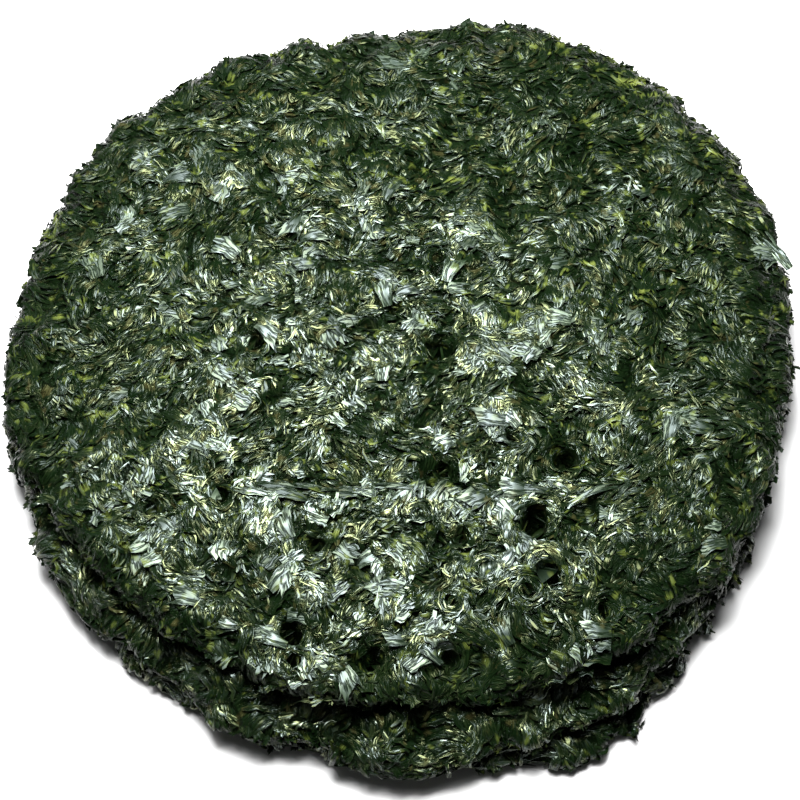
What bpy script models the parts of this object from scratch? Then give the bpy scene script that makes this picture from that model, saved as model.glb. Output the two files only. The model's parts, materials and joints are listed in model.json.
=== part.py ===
"""A round cake of dried laver: three felted layers that lie on one another.

Frame: metres, +Z up. The cake rests on its flat underside at z = 0, and the origin is the middle of
its footprint. Each layer is one closed solid with a ragged, rounded rim. The top layer shows its
whole face, so that face carries lumps, crumpled ridges, pits and two long press lines. The two
layers under it have slipped a little, and show crumpled crescents and rims along one side.
"""

import math
from dataclasses import dataclass

import bmesh
import bpy
from mathutils import Vector, geometry, noise

MM = 0.001

# Driving dimensions
CAKE_RADIUS = 111 * MM
TOP_THICKNESS = 10.5 * MM
MIDDLE_THICKNESS = 7.0 * MM
BOTTOM_THICKNESS = 6.0 * MM
LAYER_GAP = 0.35 * MM

# The face of a layer: height of each kind of relief, and the size of one lump or ridge
LUMP_HEIGHT = 1.6 * MM
LUMP_SIZE = 31 * MM
RIDGE_HEIGHT = 0.9 * MM
RIDGE_SIZE = 19 * MM
RIDGE_SHARPNESS = 14
RIDGE_SEED = 9
WAVE_SEED = 3
EDGE_DROP = 2.2 * MM
EDGE_DROP_FROM = 0.84

# Pits where the chopped blades left a hole: x, y and radius in millimetres from the top layer's middle
PITS_MM = (
    (33, -62, 4.6),
    (12, -47, 3.6),
    (10, -67, 3.8),
    (-50, -54, 4.0),
    (-24, -68, 3.6),
    (36, -78, 4.2),
    (-30, -96, 4.4),
    (-9, -98, 3.8),
    (42, -43, 4.4),
    (9, -9, 4.4),
    (-11, -1, 3.4),
    (-42, -7, 3.6),
)
PIT_DEPTH = 3.4 * MM
PIT_LIP = 1.5

# Press lines left by the drying mat: the ends of each, in millimetres from the top layer's middle
PRESS_LINES_MM = (
    ((-46, -53), (56, -51)),
    ((-74, 64), (-22, 72)),
)
PRESS_DEPTH = 1.2 * MM
PRESS_HALF_WIDTH = 3.5 * MM

# The rim, ring by ring below the face: share of the outline's radius, share of the edge's height
RIM_RINGS = (
    (0.986, 0.80),
    (1.000, 0.50),
    (0.992, 0.20),
    (0.970, 0.00),
)
FACE_SHARE = 0.955
HIDDEN_SHARE = 0.82
SHOWN_SHARES = (0.865, 0.895, 0.925, FACE_SHARE)

# Ragged scraps along the outline, each with finer ones on it, and slow waves in the rim's height
RIM_SCRAP_SIZE = 9 * MM
RIM_SCRAPS_FROM = 0.8
FINER_SCRAPS = 2.1
FINER_SCRAPS_SHARE = 0.6
RIM_WAVE_SIZE = 26 * MM
RIM_WAVE_HEIGHT = 5.2 * MM

# How far outside the layer above a covered face takes to reach its full relief
COVER_MARGIN = 6 * MM

# A face that shows all over is set with points like the seeds of a sunflower
SEED_COUNT = 3200
SEED_TURN = math.pi * (3 - math.sqrt(5))
WELD = 0.001 * MM


@dataclass(frozen=True)
class Layer:
    """One felted layer. Lobes and bites are (azimuth in degrees, half width in degrees, height in mm)."""

    name: str
    centre: tuple
    base: float
    radius: float
    thickness: float
    segments: int
    ragged: float
    lobes: tuple
    colour: tuple
    seed: float

    @property
    def level(self):
        """The height of the face before its relief."""
        return self.base + self.thickness


BOTTOM = Layer(
    name="layer_bottom",
    centre=(-1 * MM, -15 * MM),
    base=0.0,
    radius=CAKE_RADIUS - 4 * MM,
    thickness=BOTTOM_THICKNESS,
    segments=208,
    ragged=0.8 * MM,
    lobes=(
        (297, 20, 9.5),
        (298.5, 2.5, -2.5),
        (306.5, 3.0, -4.0),
        (316, 3.5, -4.5),
        (323, 3.5, -3.5),
        (340, 18, -4.0),
        (120, 40, 3.0),
    ),
    colour=(0.012, 0.020, 0.008),
    seed=31.7,
)
MIDDLE = Layer(
    name="layer_middle",
    centre=(-2 * MM, -13 * MM),
    base=BOTTOM.level + LAYER_GAP,
    radius=CAKE_RADIUS,
    thickness=MIDDLE_THICKNESS,
    segments=172,
    ragged=1.0 * MM,
    lobes=(
        (200, 10, -3.0),
        (227, 4, -3.5),
        (235, 13, -3.5),
        (257, 6, -2.0),
        (272, 12, 3.0),
        (310, 14, -1.5),
        (325, 20, -4.5),
        (345, 20, -5.5),
    ),
    colour=(0.018, 0.030, 0.012),
    seed=17.3,
)
TOP = Layer(
    name="layer_top",
    centre=(0, 0),
    base=MIDDLE.level + LAYER_GAP,
    radius=CAKE_RADIUS,
    thickness=TOP_THICKNESS,
    segments=224,
    ragged=1.3 * MM,
    lobes=(
        (30, 16, 1.8),
        (57, 34, 5.5),
        (100, 28, -5.0),
        (196, 26, 2.5),
        (350, 28, -4.0),
    ),
    colour=(0.026, 0.042, 0.018),
    seed=4.9,
)
LAYERS = (BOTTOM, MIDDLE, TOP)


def smooth_step(value):
    """0 below 0, 1 above 1, and a smooth rise between them."""
    share = min(max(value, 0.0), 1.0)
    return share * share * (3 - 2 * share)


def bump(distance, half_width):
    """1 at the middle of a bump, and 0 from its half width on."""
    return smooth_step(1 - abs(distance) / half_width)


def outline(layer, azimuth, share=1.0):
    """The layer's radius at this azimuth: a circle with lobes and bites, and scraps towards its rim."""
    radius = layer.radius
    for middle, half_width, height in layer.lobes:
        turn = (math.degrees(azimuth) - middle + 180) % 360 - 180
        radius += height * MM * bump(turn, half_width)
    scraps = layer.radius / RIM_SCRAP_SIZE
    spot = Vector((math.cos(azimuth) * scraps, math.sin(azimuth) * scraps, layer.seed))
    ragged = layer.ragged * smooth_step((share - RIM_SCRAPS_FROM) / (1 - RIM_SCRAPS_FROM))
    return radius + ragged * (noise.noise(spot) + FINER_SCRAPS_SHARE * noise.noise(spot * FINER_SCRAPS))


def distance_to_line(x, y, line_mm):
    """How far (x, y) is from the segment between the line's two ends."""
    start, end = (Vector(point) * MM for point in line_mm)
    along = end - start
    share = min(max((Vector((x, y)) - start).dot(along) / along.length_squared, 0.0), 1.0)
    return (Vector((x, y)) - start - along * share).length


def crumple(x, y, seed):
    """Lumps of the felt, with crumpled ridges winding over them."""
    lumps = noise.noise(Vector((x / LUMP_SIZE, y / LUMP_SIZE, seed)))
    slope = noise.noise(Vector((x / RIDGE_SIZE, y / RIDGE_SIZE, seed + RIDGE_SEED)))
    ridges = 1 - min(RIDGE_SHARPNESS * slope * slope, 2)
    return LUMP_HEIGHT * lumps + RIDGE_HEIGHT * ridges


def top_relief(x, y):
    """The top layer's own marks: its pits and the press lines of the mat."""
    depth = 0.0
    for pit_x, pit_y, radius in PITS_MM:
        away = math.hypot(x - pit_x * MM, y - pit_y * MM)
        depth += PIT_DEPTH * bump(away, radius * PIT_LIP * MM)
    for line in PRESS_LINES_MM:
        depth += PRESS_DEPTH * bump(distance_to_line(x, y, line), PRESS_HALF_WIDTH)
    return -depth


def shown_share(layer, x, y):
    """0 where the layer above lies on this one, rising to 1 a margin outside that layer's outline."""
    above = LAYERS[LAYERS.index(layer) + 1 :]
    share = 1.0
    for cover in above:
        east = x + layer.centre[0] - cover.centre[0]
        north = y + layer.centre[1] - cover.centre[1]
        beyond = math.hypot(east, north) - outline(cover, math.atan2(north, east))
        share = min(share, smooth_step(beyond / COVER_MARGIN))
    return share


def face_height(layer, x, y):
    """The height of the layer's face at (x, y), above its own underside."""
    height = crumple(x, y, layer.seed)
    if layer is TOP:
        height += top_relief(x, y)
    share = math.hypot(x, y) / outline(layer, math.atan2(y, x))
    drop = EDGE_DROP * smooth_step((share - EDGE_DROP_FROM) / (FACE_SHARE - EDGE_DROP_FROM))
    return layer.thickness + shown_share(layer, x, y) * (height - drop)


def on_plan(layer, azimuth, share):
    """The place seen from above, at this azimuth and share of the outline's radius."""
    radius = share * outline(layer, azimuth, share)
    return Vector((radius * math.cos(azimuth), radius * math.sin(azimuth)))


def on_face(layer, azimuth, share):
    """The point of the layer's face at this azimuth and share of the outline's radius."""
    spot = on_plan(layer, azimuth, share)
    return spot.to_3d() + Vector((0, 0, face_height(layer, *spot)))


def open_edges(bm):
    """The edges with a face on one side only."""
    return [edge for edge in bm.edges if edge.is_boundary]


def add_ring(bm, where):
    """Extrudes the open edge by one ring of faces, with each new vertex where its azimuth says."""
    grown = bmesh.ops.extrude_edge_only(bm, edges=open_edges(bm))["geom"]
    for vert in grown:
        if isinstance(vert, bmesh.types.BMVert):
            vert.co = where(math.atan2(vert.co.y, vert.co.x))


def full_face(layer):
    """A face that shows all over: a ring of rim points, evenly spread seeds, and triangles between."""
    count = layer.segments
    spots = [on_plan(layer, math.tau * turn / count, FACE_SHARE) for turn in range(count)]
    rim = [(turn, (turn + 1) % count) for turn in range(count)]
    seeds_share = FACE_SHARE - math.pi / count
    for seed in range(SEED_COUNT):
        share = seeds_share * math.sqrt((seed + 0.5) / SEED_COUNT)
        spots.append(on_plan(layer, seed * SEED_TURN, share))
    inside = 1
    spots, _, triangles, *_ = geometry.delaunay_2d_cdt(spots, rim, [], inside, WELD)
    bm = bmesh.new()
    verts = [bm.verts.new((*spot, face_height(layer, *spot))) for spot in spots]
    for triangle in triangles:
        bm.faces.new([verts[corner] for corner in triangle])
    return bm


def covered_face(layer):
    """A face that shows along its rim only: one plain middle, and rings of relief round it."""
    bm = bmesh.new()
    bmesh.ops.create_circle(bm, cap_ends=True, segments=layer.segments, radius=layer.radius)
    for vert in bm.verts:
        vert.co = on_plan(layer, math.atan2(vert.co.y, vert.co.x), HIDDEN_SHARE).to_3d()
        vert.co.z = layer.thickness
    for share in SHOWN_SHARES:
        add_ring(bm, lambda azimuth, share=share: on_face(layer, azimuth, share))
    return bm


def on_rim(layer, azimuth, share, height_share):
    """The point of the rounded rim at this share of the radius and of the edge's wavy height."""
    edge = on_face(layer, azimuth, FACE_SHARE)
    waves = layer.radius / RIM_WAVE_SIZE
    spot = Vector((math.cos(azimuth) * waves, math.sin(azimuth) * waves, layer.seed + WAVE_SEED))
    lift = RIM_WAVE_HEIGHT * noise.noise(spot) * shown_share(layer, edge.x, edge.y)
    height = height_share * (edge.z + (1 - height_share) * lift)
    return on_plan(layer, azimuth, share).to_3d() + Vector((0, 0, height))


def add_rim(bm, layer):
    """The rim from the face's edge down to the underside, and the flat underside."""
    for share, height_share in RIM_RINGS:
        add_ring(bm, lambda azimuth, ring=(share, height_share): on_rim(layer, azimuth, *ring))
    bmesh.ops.contextual_create(bm, geom=open_edges(bm))


def laver_material(layer):
    """Dried laver: a green so dark that it is nearly black, with the faint gloss of a dry film."""
    material = bpy.data.materials.new(layer.name + "_laver")
    material.use_nodes = True
    shader = material.node_tree.nodes["Principled BSDF"]
    shader.inputs["Base Color"].default_value = (*layer.colour, 1)
    shader.inputs["Roughness"].default_value = 0.42
    shader.inputs["Metallic"].default_value = 0.0
    return material


def make_layer(layer, parent):
    """Builds one layer as a closed solid, with its origin at the middle of its underside."""
    bm = full_face(layer) if layer is TOP else covered_face(layer)
    add_rim(bm, layer)
    bmesh.ops.triangulate(bm, faces=bm.faces)
    bmesh.ops.recalc_face_normals(bm, faces=bm.faces)
    mesh = bpy.data.meshes.new(layer.name)
    bm.to_mesh(mesh)
    bm.free()
    mesh.shade_smooth()
    mesh.materials.append(laver_material(layer))
    made = bpy.data.objects.new(layer.name, mesh)
    made.location = (*layer.centre, layer.base)
    made.parent = parent
    bpy.context.scene.collection.objects.link(made)
    return made


def centre_of_footprint(layers):
    """The middle of the cake's box, seen from above."""
    bpy.context.view_layer.update()
    points = [made.matrix_world @ vert.co for made in layers for vert in made.data.vertices]
    xs = [point.x for point in points]
    ys = [point.y for point in points]
    return (min(xs) + max(xs)) / 2, (min(ys) + max(ys)) / 2


def main():
    """Clears the scene and stacks the three layers, with the origin under the middle of their box."""
    for old in list(bpy.data.objects):
        bpy.data.objects.remove(old)
    cake = bpy.data.objects.new("laver_cake", None)
    bpy.context.scene.collection.objects.link(cake)
    layers = [make_layer(layer, cake) for layer in LAYERS]
    middle_x, middle_y = centre_of_footprint(layers)
    cake.location = (-middle_x, -middle_y, 0)
    for made in layers:
        print(made.name, len(made.data.polygons), "triangles")


main()
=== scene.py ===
# %% [markdown]
# # A cake of dried laver
# Laver is a thin red seaweed. It is chopped, spread on a round mat in a rough layer and dried, and the
# wet blades shrink into a crackly dark green felt. This cake is three such layers, one on another.
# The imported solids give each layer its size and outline. Everything here is made to fit them.

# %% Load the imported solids
import json
import math
import random

import bmesh
import bpy
import numpy as np
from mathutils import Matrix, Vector, kdtree, noise

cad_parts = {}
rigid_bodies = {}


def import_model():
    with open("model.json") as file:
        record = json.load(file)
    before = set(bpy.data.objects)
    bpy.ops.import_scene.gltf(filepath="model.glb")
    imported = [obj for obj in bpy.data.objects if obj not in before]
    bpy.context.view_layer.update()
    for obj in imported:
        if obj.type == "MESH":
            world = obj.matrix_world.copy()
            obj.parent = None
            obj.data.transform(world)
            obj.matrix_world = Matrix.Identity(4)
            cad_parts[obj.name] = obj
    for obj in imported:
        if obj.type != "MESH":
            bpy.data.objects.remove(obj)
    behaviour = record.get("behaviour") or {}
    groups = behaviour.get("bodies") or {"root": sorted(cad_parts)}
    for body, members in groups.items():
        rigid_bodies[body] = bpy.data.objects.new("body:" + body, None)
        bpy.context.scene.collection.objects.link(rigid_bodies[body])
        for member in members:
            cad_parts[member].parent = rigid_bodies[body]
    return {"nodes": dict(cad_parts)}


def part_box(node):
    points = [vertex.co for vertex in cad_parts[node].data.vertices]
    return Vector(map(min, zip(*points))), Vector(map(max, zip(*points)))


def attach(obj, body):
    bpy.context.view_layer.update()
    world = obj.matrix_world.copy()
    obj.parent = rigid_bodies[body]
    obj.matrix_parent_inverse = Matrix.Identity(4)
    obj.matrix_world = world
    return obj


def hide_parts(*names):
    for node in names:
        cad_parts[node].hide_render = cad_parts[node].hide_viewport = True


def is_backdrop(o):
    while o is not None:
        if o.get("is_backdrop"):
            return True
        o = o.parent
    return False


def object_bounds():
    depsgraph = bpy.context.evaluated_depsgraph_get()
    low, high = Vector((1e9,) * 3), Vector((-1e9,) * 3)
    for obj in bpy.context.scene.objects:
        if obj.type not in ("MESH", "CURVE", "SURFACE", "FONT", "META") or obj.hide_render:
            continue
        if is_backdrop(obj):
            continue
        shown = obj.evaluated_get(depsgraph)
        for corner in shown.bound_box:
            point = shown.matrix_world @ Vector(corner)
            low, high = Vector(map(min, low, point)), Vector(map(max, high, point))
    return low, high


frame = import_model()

MM = 0.001
cad_low, cad_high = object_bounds()
print("cake:", [round(side / MM, 1) for side in cad_high - cad_low], "mm")

# %% [markdown]
# ## The middle of the top layer
# Pits and press lines are given from the middle of the top layer. That point is worked out from the box
# of its solid: its left side and its front are this far from the middle.

# %% Find the middle of the top layer
LEFT_REACH = 112.8 * MM
FRONT_REACH = 111.1 * MM
top_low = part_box("layer_top")[0]
top_middle = Vector((top_low.x + LEFT_REACH, top_low.y + FRONT_REACH))
print("top layer's middle:", [round(place / MM, 1) for place in top_middle], "mm")


# %% [markdown]
# ## Reading noise and ramps
# Every bump, crease and drift of colour comes from smooth noise. These helpers read Blender's own noise
# at many points, at a scale given as the size of one lump. The last one adds an object to the scene.

# %% Helpers for noise, meshes and objects
def noise_at(points, size, seed):
    """Smooth noise from about -1 to 1 at each point, with lumps of the given size."""
    scaled = np.asarray(points) / size + (seed, -seed, seed)
    return np.fromiter(map(noise.noise, scaled), float, len(scaled))


def noise_arrows(points, size, seed, width):
    """One independent noise for each of the first axes, as arrows."""
    return np.stack([noise_at(points, size, seed + n) for n in range(width)], axis=1)


def ramp(value, start, end):
    """0 before start, 1 after end, and a smooth rise between them."""
    share = np.clip((value - start) / (end - start), 0, 1)
    return share * share * (3 - 2 * share)


def rows_of(mesh_data, field, width=3):
    """One field of a mesh's items as a table of numbers."""
    table = np.zeros(len(mesh_data) * width)
    mesh_data.foreach_get(field, table)
    return table.reshape(-1, width)


def unit(arrows):
    """The same arrows, each one long."""
    return arrows / (np.linalg.norm(arrows, axis=1, keepdims=True) + 1e-12)


def new_object(name, data):
    """A new object that holds the data, put into the scene."""
    made = bpy.data.objects.new(name, data)
    bpy.context.scene.collection.objects.link(made)
    return made


# %% [markdown]
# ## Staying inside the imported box
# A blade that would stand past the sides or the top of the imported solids' box is eased back. The nearer
# it comes to the box, the more it is held.

# %% Ease points into the box
EASE = 1.0 * MM


def kept_inside(spots):
    """The same points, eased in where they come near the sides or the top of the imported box."""
    over = np.maximum(spots - (np.array(cad_high) - EASE), 0)
    under = np.maximum(np.array(cad_low) + EASE - spots, 0) * (1, 1, 0)
    return spots - over + EASE * (1 - np.exp(-over / EASE)) + under - EASE * (1 - np.exp(-under / EASE))


print("points are eased within", EASE / MM, "mm of the box")

# %% [markdown]
# ## The felt under the blades
# A core of felt carries the blades that show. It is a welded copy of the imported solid, with its shown
# faces cut finer and relaxed, so that the flat facets become a soft, lumpy form.

# %% Make the cores
SINKS = {"layer_top": 0.9 * MM, "layer_middle": 0.7 * MM, "layer_bottom": 0.7 * MM}
CUTS = 3
SAME_CORNER = 0.01 * MM
BASE_HEIGHT = 0.2 * MM
SIDE_RISE = 1.5 * MM


def felt_core(node, sink):
    """A finer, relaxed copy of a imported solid, shrunk a little so that blades fit over it."""
    bm = bmesh.new()
    bm.from_mesh(frame["nodes"][node].data)
    bmesh.ops.remove_doubles(bm, verts=bm.verts, dist=SAME_CORNER)
    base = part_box(node)[0].z + BASE_HEIGHT
    edges = [edge for edge in bm.edges if max(vert.co.z for vert in edge.verts) > base]
    bmesh.ops.subdivide_edges(bm, edges=edges, cuts=CUTS, use_grid_fill=True)
    bmesh.ops.triangulate(bm, faces=bm.faces)
    loose = [vert for vert in bm.verts if vert.co.z > base]
    for _ in range(2 * CUTS):
        bmesh.ops.smooth_vert(bm, verts=loose, factor=0.5, use_axis_x=True, use_axis_y=True, use_axis_z=True)
    bmesh.ops.recalc_face_normals(bm, faces=bm.faces)
    mesh = bpy.data.meshes.new(node + "_felt")
    bm.to_mesh(mesh)
    bm.free()
    mesh.shade_smooth()
    core = new_object(node + "_felt", mesh)
    spots = rows_of(mesh.vertices, "co")
    spots -= rows_of(mesh.vertices, "normal") * sink * ramp(spots[:, 2:], base, base + SIDE_RISE)
    mesh.vertices.foreach_set("co", spots.ravel())
    mesh.update()
    print(core.name, len(mesh.polygons), "triangles")
    return core


cores = {node: felt_core(node, sink) for node, sink in SINKS.items()}

# %% [markdown]
# ## Pits
# Where few blades fell, the felt has small dark pits. Each is a place and a radius in millimetres.
# The walls are steep, so a pit stays dark however the light falls.

# %% Pits in the top layer
PITS_MM = (
    (33, -62, 4.8), (10, -46, 2.7), (14, -66, 2.5), (8, -67, 2.2), (-50, -54, 3.3), (-24, -68, 2.7),
    (-68, -58, 2.2), (3, -60, 1.9), (20, -76, 2.7), (36, -77, 3.6), (30, -82, 2.2), (11, -85, 2.2),
    (-30, -93, 3.3), (-29, -100, 2.7), (-45, -94, 2.2), (-9, -99, 3.3), (10, -99, 3.0), (-49, -76, 1.9),
    (-11, -1, 2.5), (-4, 4, 1.6), (28, -38, 2.2), (42, -43, 3.8), (1, 55, 1.9), (-42, -7, 2.5),
    (8, 16, 2.2), (8, 20, 2.2), (9, -9, 3.8), (23, 72, 1.6), (50, -86, 2.7),
)
PIT_DEPTHS = 1.8  # times the radius
PIT_WALL = 1.0 * MM
PIT_RAGGED = 1.6 * MM
PIT_WIDER = 0.5 * MM
pits = np.array(PITS_MM) * MM
pits[:, :2] += top_middle
ragged = random.Random(5)
PIT_STRETCH = np.array([(ragged.uniform(0.75, 1.3), ragged.uniform(0, math.pi)) for _ in PITS_MM])
PIT_STRETCH[0] = (1.25, 0)  # the widest pit is wide from left to right
print(len(pits), "pits, the widest", round(2 * pits[:, 2].max() / MM, 1), "mm")


def out_of_pits(spots):
    """The same points, with those over a pit moved out to its rim and folded down into it."""
    beyond = beyond_pits(spots)
    over = (beyond < 0) & (spots[:, 2] > top_low.z + 2 * MM)
    from_pit = spots[over][:, None, :2] - pits[None, :, :2]
    row = np.linalg.norm(from_pit, axis=2).argmin(axis=1)
    way = unit(from_pit[np.arange(len(row)), row])
    folded = spots.copy()
    folded[over, :2] -= way * beyond[over][:, None] * 0.85
    folded[over, 2] += 0.9 * beyond[over]
    return folded


def beyond_pits(spots):
    """How far each point is outside the rim of the nearest pit. Pits are a little oval."""
    apart = spots[:, None, :2] - pits[None, :, :2]
    turn = PIT_STRETCH[:, 1]
    along = apart[..., 0] * np.cos(turn) + apart[..., 1] * np.sin(turn)
    across = apart[..., 1] * np.cos(turn) - apart[..., 0] * np.sin(turn)
    beyond = (np.hypot(along * PIT_STRETCH[:, 0], across / PIT_STRETCH[:, 0]) - pits[:, 2]).min(axis=1)
    return beyond + PIT_WIDER + PIT_RAGGED * noise_at(spots, 3.2 * MM, 31)


# %% [markdown]
# ## Drifts of pale blades
# Where many broad blades came together they dried into flatter, paler drifts. Each drift is an oval:
# its place, half its length and half its width in millimetres, and the turn of its length in degrees.

# %% Drifts on the top layer
DRIFTS_MM = (
    (-25, -103, 17, 5.8, 150), (3, -56, 14, 3.0, 5), (26, -60, 8, 4.5, 80), (-64, 47, 11, 2.5, 65),
    (-32, 51, 8, 4.1, 90), (-6, -85, 6, 3.9, 150), (31, -72, 10, 2.9, 15), (-76, 28, 7, 3.6, 130),
    (-11, 35, 7, 3.5, 125), (-40, -57, 8, 3.0, 130), (4, -99, 8, 2.9, 40), (43, -97, 10, 2.4, 35),
    (-3, 10, 6, 3.4, 125), (-9, -13, 6, 3.0, 145), (-52, 45, 6, 2.8, 65), (62, 41, 9, 2.9, 65),
    (-29, 13, 7, 2.5, 95), (24, -34, 5, 3.8, 35), (13, 30, 6, 3.7, 115), (72, -32, 5, 3.3, 105),
    (-51, 66, 6, 2.9, 10), (32, -10, 4, 3.6, 50), (15, 7, 6, 2.1, 135), (-31, -77, 4, 3.4, 85),
    (-54, -34, 6, 2.4, 75), (-1, 25, 5, 2.6, 135), (-22, -60, 6, 2.5, 30), (-66, -69, 4, 3.1, 110),
    (102, 23, 7, 1.6, 115), (-1, 88, 7, 2.4, 15), (18, -14, 5, 2.4, 45), (-49, -43, 5, 2.4, 135),
    (-5, -71, 6, 2.5, 155), (-29, 31, 5, 1.8, 95), (41, 69, 4, 2.2, 165), (78, -60, 4, 2.5, 125),
    (-24, -7, 7, 1.4, 40), (-50, 23, 5, 1.9, 115), (-18, -78, 6, 2.1, 90), (15, 84, 5, 1.8, 130),
    (-46, -72, 4, 2.0, 115), (41, -2, 6, 1.9, 35), (-76, 50, 5, 2.6, 90), (52, -9, 4, 2.1, 115),
)
DRIFT_RAGGED = 2.5 * MM


def in_drift(spots):
    """1 inside a drift and 0 well outside all of them, with a ragged border."""
    most = np.zeros(len(spots))
    shaken = spots[:, :2] + DRIFT_RAGGED * noise_arrows(spots, 4 * MM, 61, 2)
    for x, y, half_length, half_width, turn in DRIFTS_MM:
        apart = shaken - top_middle - np.array((x, y)) * MM
        cos, sin = math.cos(math.radians(turn)), math.sin(math.radians(turn))
        along = (apart[:, 0] * cos + apart[:, 1] * sin) / half_length / MM
        across = (apart[:, 1] * cos - apart[:, 0] * sin) / half_width / MM
        most = np.maximum(most, 1 - ramp(np.hypot(along, across), 0.7, 1.5))
    return most


print(len(DRIFTS_MM), "drifts")

# %% [markdown]
# ## Which way the blades lie
# Wet laver is spread by the handful. In each clump the blades curve the same way, as if round one hub
# to the side of the clump, and the next clump curves another way. Round a pit they bend like reeds
# round a pool, and along a press line they lie straight.

# %% Clumps and press lines
CLUMP_SIZE = 8 * MM
HUB_GAP = (8 * MM, 40 * MM)
CLUMP_RAGGED = 3.5 * MM
EDDY_REACH = 3.5 * MM
PRESS_REACH = 2.5 * MM
PRESS_LINES_MM = (((-44, -52.6), (56, -51)), ((-73, 65), (-52, 67.5)), ((-52, 67.5), (-23, 71.6)))


def clumps_on(node, seed):
    """Middles of the clumps on one layer, and the hub that each clump's blades curve round."""
    draw = np.random.default_rng(seed)
    low, high = (np.array(corner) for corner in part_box(node))
    count = int(np.prod((high - low)[:2]) / CLUMP_SIZE**2)
    middles = draw.uniform(low, high, (count, 3))
    turns = draw.uniform(0, math.tau, count)
    gaps = HUB_GAP[0] * (HUB_GAP[1] / HUB_GAP[0]) ** draw.uniform(0, 1, count)
    sides = np.stack([np.cos(turns), np.sin(turns), draw.uniform(-0.4, 0.4, count)], axis=1)
    return middles, middles + sides * gaps[:, None]


def nearest_row(spots, middles):
    """The row of the middle that is nearest to each spot."""
    tree = kdtree.KDTree(len(middles))
    for row, middle in enumerate(middles):
        tree.insert(middle, row)
    tree.balance()
    return np.fromiter((tree.find(spot)[1] for spot in spots), int, len(spots))


def across_press_lines(spots):
    """The way from the nearest press line to each point, level and in metres."""
    best = np.full((len(spots), 3), 1.0)
    for start, end in PRESS_LINES_MM:
        start, end = np.array(start) * MM + top_middle, np.array(end) * MM + top_middle
        reach = end - start
        share = np.clip((spots[:, :2] - start) @ reach / (reach @ reach), 0, 1)
        way = np.zeros_like(spots)
        way[:, :2] = spots[:, :2] - start - share[:, None] * reach
        nearer = np.linalg.norm(way, axis=1) < np.linalg.norm(best, axis=1)
        best[nearer] = way[nearer]
    return best


# %% [markdown]
# ## Creases
# The felt itself is creased along the same curves. Noise is read at the distance from the hub instead
# of at a place across the curves, so each crease runs along a curve and fades after a few millimetres.

# %% Crease the felt and store the lie
CREASE_WIDTH = 1.2 * MM
CREASE_LENGTH = 7 * MM
LUMPS_MM = ((2.0, 16, 4), (2.7, 9, 6), (0.5, 4.2, 9))  # height, size and seed of each kind of lump
SETTLED = 0.4 * MM
CREASE_HEIGHT = 0.35 * MM
DRIFT_FLATTENS = 0.8
DRIFT_HEIGHT = 0.5 * MM


def store(mesh, name, values):
    """Keeps one number or arrow for each vertex, under a name that nodes can read."""
    kind, field = ("FLOAT", "value") if values.ndim == 1 else ("FLOAT_VECTOR", "vector")
    layer = mesh.attributes.new(name, kind, "POINT")
    layer.data.foreach_set(field, values.astype(np.float32).ravel())


def crease_felt(node, seed):
    """Creases one core, sinks its pits, and stores the lie, the way across it and the grain on it."""
    mesh = cores[node].data
    spots = rows_of(mesh.vertices, "co")
    ups = rows_of(mesh.vertices, "normal")
    middles, hubs = clumps_on(node, seed)
    strayed = spots + CLUMP_RAGGED * noise_arrows(spots, 6 * MM, seed, 3)
    clump = nearest_row(strayed, middles)
    away = spots - hubs[clump]
    if node == "layer_top":
        near_pit = beyond_pits(spots) < EDDY_REACH
        from_pit = spots[:, None, :2] - pits[None, :, :2]
        row = np.linalg.norm(from_pit, axis=2).argmin(axis=1)
        away[near_pit, :2] = from_pit[np.arange(len(spots)), row][near_pit]
        away[near_pit, 2] = 0
        press = across_press_lines(spots)
        near_press = np.linalg.norm(press, axis=1) < PRESS_REACH
        away[near_press] = press[near_press]
    level = np.linalg.norm(away, axis=1)
    across = unit(away - ups * np.sum(away * ups, axis=1, keepdims=True))
    lie = np.cross(across, ups)
    grain = np.stack([level / CREASE_WIDTH + clump, *(spots[:, :2] / CREASE_LENGTH).T], axis=1)
    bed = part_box(node)[0].z
    shown = ramp(spots[:, 2], bed + 0.3 * MM, bed + 2 * MM)
    creases = CREASE_HEIGHT * (0.5 - 2.5 * np.abs(noise_at(grain, 1.0, seed))) - SETTLED
    for height, size, more in LUMPS_MM:
        creases += height * MM * noise_at(spots, size * MM, seed + more)
    if node == "layer_top":
        drift = in_drift(spots)
        creases = creases * (1 - DRIFT_FLATTENS * drift) + DRIFT_HEIGHT * drift
    spots += ups * (creases * shown)[:, None]
    if node == "layer_top":
        sunk = (1 - ramp(beyond_pits(spots), -PIT_WALL, 0.2 * MM)) * (ups[:, 2] > 0.4)
        spots[:, 2] -= PIT_DEPTHS * pits[row, 2] * sunk
    spots = kept_inside(spots)
    mesh.vertices.foreach_set("co", spots.ravel())
    mesh.update()
    store(mesh, "lie", lie)
    store(mesh, "across", across)
    store(mesh, "grain", grain)
    store(mesh, "tint", 0.5 + 0.5 * noise_at(grain, 2.0, seed + 12))
    print(node, "has", len(middles), "clumps")


for number, node in enumerate(cores):
    crease_felt(node, 7 + 3 * number)


# %% [markdown]
# ## Thick and thin places
# Where much laver came together more blades lie, and where little lies it stays open. One number from 0 to 1
# says which, and the blades follow it. It also lightens or darkens colour and sheen: in random patches, and as
# painted light and shade, lit round the middle and in the drifts and shaded towards the rim.

# %% Where the felt is thick
# Blades and painted light are densest round this middle and fall off over this reach towards the rim.
THICK_AND_LIT_MIDDLE = np.array((-7, -38)) * MM
THICK_AND_LIT_REACH = (46 * MM, 102 * MM)
THICK_PATCH = 8 * MM
PATCH_EDGE = (-0.15, 0.2)
LOWER_LAYERS_SHARE = 0.95
LOST_TOWARDS_RIM = 0.75


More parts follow.
